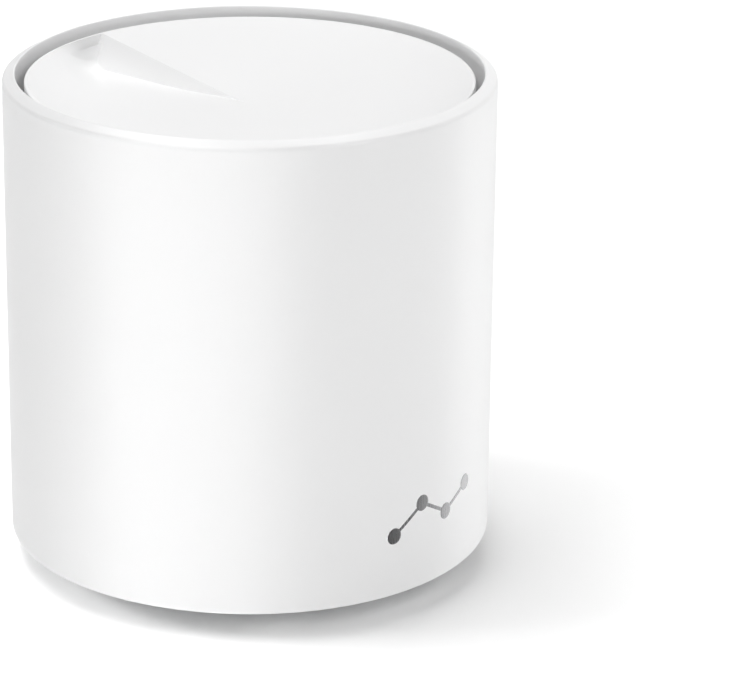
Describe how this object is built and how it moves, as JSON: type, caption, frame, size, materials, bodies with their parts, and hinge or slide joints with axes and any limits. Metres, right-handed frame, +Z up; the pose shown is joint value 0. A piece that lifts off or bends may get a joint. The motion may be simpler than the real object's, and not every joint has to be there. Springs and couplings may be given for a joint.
{
  "type": "mesh wifi node",
  "caption": "Upright round white wireless node: a plain sleeve with a bevelled rim, a recessed dished top cover with one folded step, and a recessed rear panel of sockets.",
  "frame": {"origin": "on the table under the middle of the cylinder, at the foot ring's lower face", "axes": "+Z up along the cylinder's axis, -Y to the front with the emblem, +Y to the rear with the sockets"},
  "size_m": [0.11, 0.11, 0.114],
  "materials": {
    "white_shell": "white satin-gloss moulded plastic",
    "emblem_metal": "satin grey metal foil",
    "base_plastic": "fine matte light grey plastic",
    "foot_rubber": "matte grey rubber",
    "label_film": "satin printed film, blank",
    "clear_guide": "frosted clear light guide",
    "button_plastic": "matte grey plastic",
    "inner_plastic": "black moulded plastic",
    "panel_plastic": "fine matte grey plastic",
    "socket_plastic": "black moulded plastic",
    "contact_gold": "gold-plated spring wire",
    "contact_nickel": "nickel-plated",
    "board_green": "green circuit board with copper traces",
    "chip_black": "black moulded epoxy",
    "shield_tin": "tin-plated sheet",
    "thermal_pad": "soft grey-blue silicone",
    "heatsink_metal": "bead-blasted aluminium",
    "screw_steel": "zinc-plated",
    "lead_black": "black jacket",
    "lead_grey": "grey jacket",
    "led_clear": "clear moulded lens"
  },
  "bodies": {
    "housing": {"antenna_front_left": "board_green", "antenna_front_right": "board_green", "antenna_left": "board_green", "antenna_plugs": "contact_gold", "antenna_right": "board_green", "antenna_ring": "inner_plastic", "base_cover": "base_plastic", "base_screws": "screw_steel", "capacitors": "heatsink_metal", "chassis": "inner_plastic", "flash_chip": "chip_black", "foot_ring": "foot_rubber", "front_emblem": "emblem_metal", "front_heatsink": "heatsink_metal", "heatsink_screws": "screw_steel", "lead_front_left": "lead_black", "lead_front_right": "lead_black", "lead_left": "lead_black", "lead_right": "lead_black", "led_board": "board_green", "led_cable": "lead_grey", "led_cable_sockets": "socket_plastic", "light_pipe": "clear_guide", "line_transformer_1": "chip_black", "line_transformer_2": "chip_black", "main_board": "board_green", "memory_chip": "chip_black", "network_contacts_1": "contact_gold", "network_contacts_2": "contact_gold", "network_jack_1": "socket_plastic", "network_jack_2": "socket_plastic", "outer_sleeve": "white_shell", "power_inductor": "chip_black", "power_jack": "socket_plastic", "power_pin": "contact_nickel", "power_spring": "contact_nickel", "processor_chip": "chip_black", "processor_pad": "thermal_pad", "processor_shield": "shield_tin", "radio_chip_fast": "chip_black", "radio_chip_slow": "chip_black", "radio_pad": "thermal_pad", "radio_shield": "shield_tin", "rating_label": "label_film", "rear_heatsink": "heatsink_metal", "reset_switch": "socket_plastic", "ring_screws": "screw_steel", "sleeve_screws": "screw_steel", "socket_panel": "panel_plastic", "status_led": "led_clear", "switch_chip": "chip_black", "switch_pad": "thermal_pad", "top_cover": "white_shell"},
    "reset_button": {"reset_button": "button_plastic"},
    "switch_plunger": {"switch_plunger": "button_plastic"}
  },
  "joints": [
    {"name": "reset_press", "type": "slide", "parent": "housing", "child": "reset_button", "axis": [0, 0, 1], "range_m": [0, 0.0008], "stiffness_N_per_m": 3000},
    {"name": "plunger_press", "type": "slide", "parent": "housing", "child": "switch_plunger", "axis": [0, 0, 1], "range_m": [0, 0.0008], "stiffness_N_per_m": 500}
  ],
  "couplings": [
    {"joint": "plunger_press", "follows": "reset_press", "ratio": 1}
  ]
}
